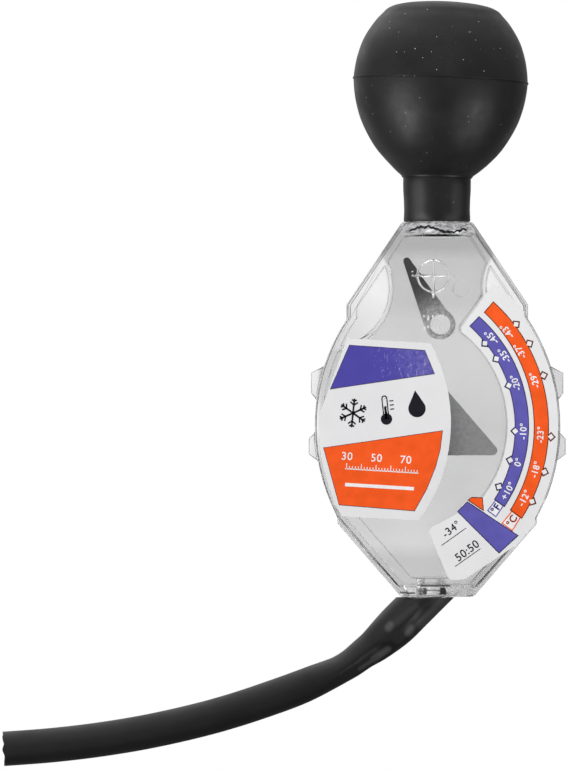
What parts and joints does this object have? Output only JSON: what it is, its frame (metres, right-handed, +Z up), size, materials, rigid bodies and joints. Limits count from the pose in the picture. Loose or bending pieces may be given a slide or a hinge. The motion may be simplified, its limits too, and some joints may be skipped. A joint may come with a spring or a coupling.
{
  "type": "antifreeze tester",
  "caption": "Hand-held coolant tester: a rubber squeeze bulb over a clear flat body with a swinging pointer over a temperature scale, and a black intake hose.",
  "frame": {"origin": "middle of the squeeze bulb, where a hand holds the tester", "axes": "+Z up along the bulb, neck and body, -Y out of the dial face towards the reader, +X to the reader's right"},
  "size_m": [0.1694, 0.0524, 0.23],
  "materials": {
    "clear_body": "clear moulded polystyrene, glossy",
    "bulb_rubber": "matt black moulded rubber",
    "hose_vinyl": "satin black flexible vinyl",
    "pointer_plastic": "satin mid-grey moulded plastic",
    "level_plastic": "satin near-black moulded plastic",
    "weight_brass": "turned brass",
    "axle_steel": "drawn stainless wire",
    "label_film": "printed white film with blue and orange panels, satin"
  },
  "bodies": {
    "tester_body": {"front_shell": "clear_body", "back_shell": "clear_body", "squeeze_bulb": "bulb_rubber", "intake_hose": "hose_vinyl", "pointer_axle": "axle_steel", "title_label": "label_film", "scale_label": "label_film"},
    "pointer": {"density_pointer": "pointer_plastic", "balance_weight": "weight_brass"},
    "level_indicator": {"level_arm": "level_plastic"}
  },
  "joints": [
    {"name": "pointer_swing", "type": "hinge", "parent": "tester_body", "child": "pointer", "pos_m": [-0.01425, 0.001, -0.10352], "axis": [0, -1, 0], "range_deg": [-30, 60]},
    {"name": "level_arm_swing", "type": "hinge", "parent": "tester_body", "child": "level_indicator", "pos_m": [0.00075, 0.0027, -0.07337], "axis": [0, 1, 0], "range_deg": [-12, 32]}
  ]
}
